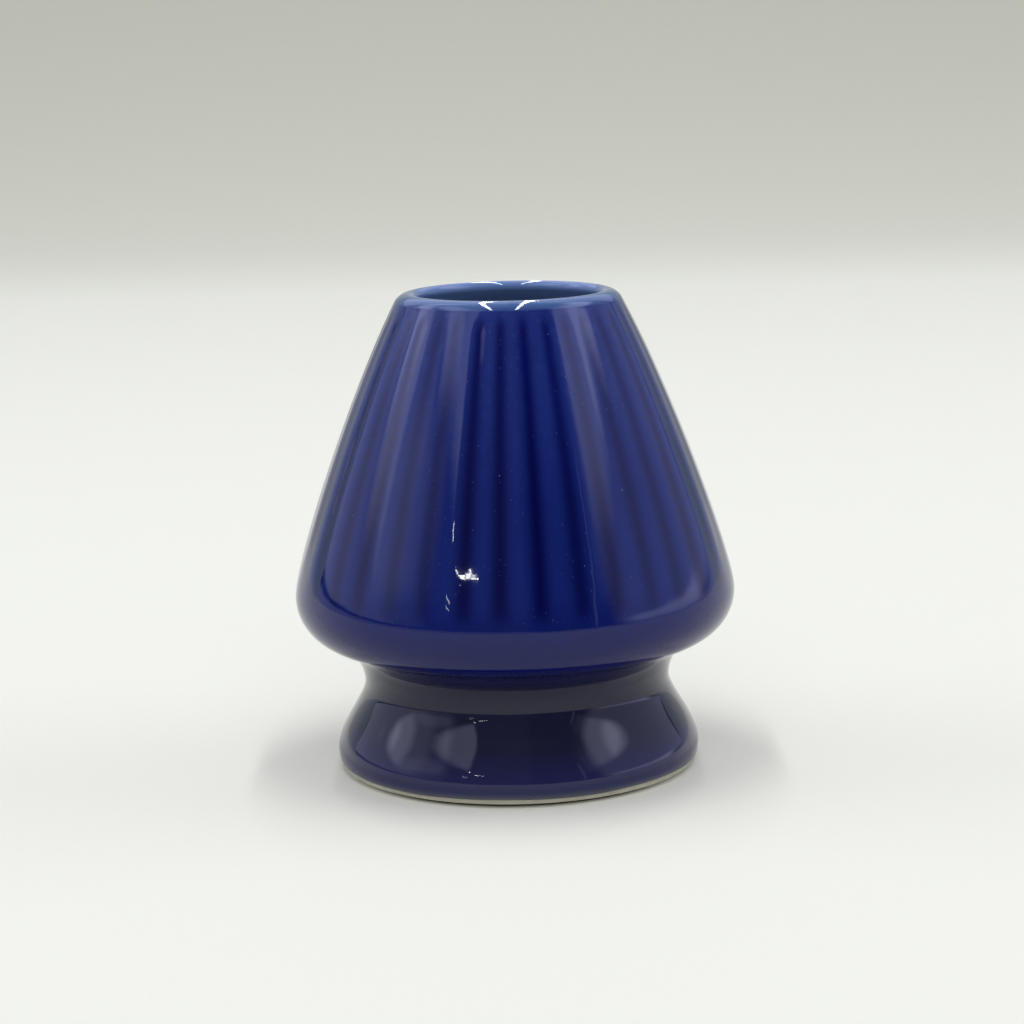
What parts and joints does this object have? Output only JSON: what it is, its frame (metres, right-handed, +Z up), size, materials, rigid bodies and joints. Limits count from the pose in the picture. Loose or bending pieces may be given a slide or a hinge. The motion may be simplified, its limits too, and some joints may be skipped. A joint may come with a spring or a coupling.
{
  "type": "tea whisk holder",
  "caption": "Bell-shaped ceramic stand with a fluted outside, a round open mouth and a flared foot, on which a bamboo tea whisk is set to dry and keep its shape.",
  "frame": {"origin": "centre of the foot ring, on the surface that the holder stands on", "axes": "+Z up along the axis of the bell; -Y is the side that the picture shows"},
  "size_m": [0.065, 0.065, 0.0704],
  "materials": {
    "bare_porcelain": "unglazed fired clay, matte and fine-grained",
    "cobalt_glaze": "glossy deep cobalt blue, darker where it pools in the grooves"
  },
  "bodies": {
    "root": {"porcelain_body": "bare_porcelain", "glaze_coat": "cobalt_glaze"}
  },
  "joints": []
}
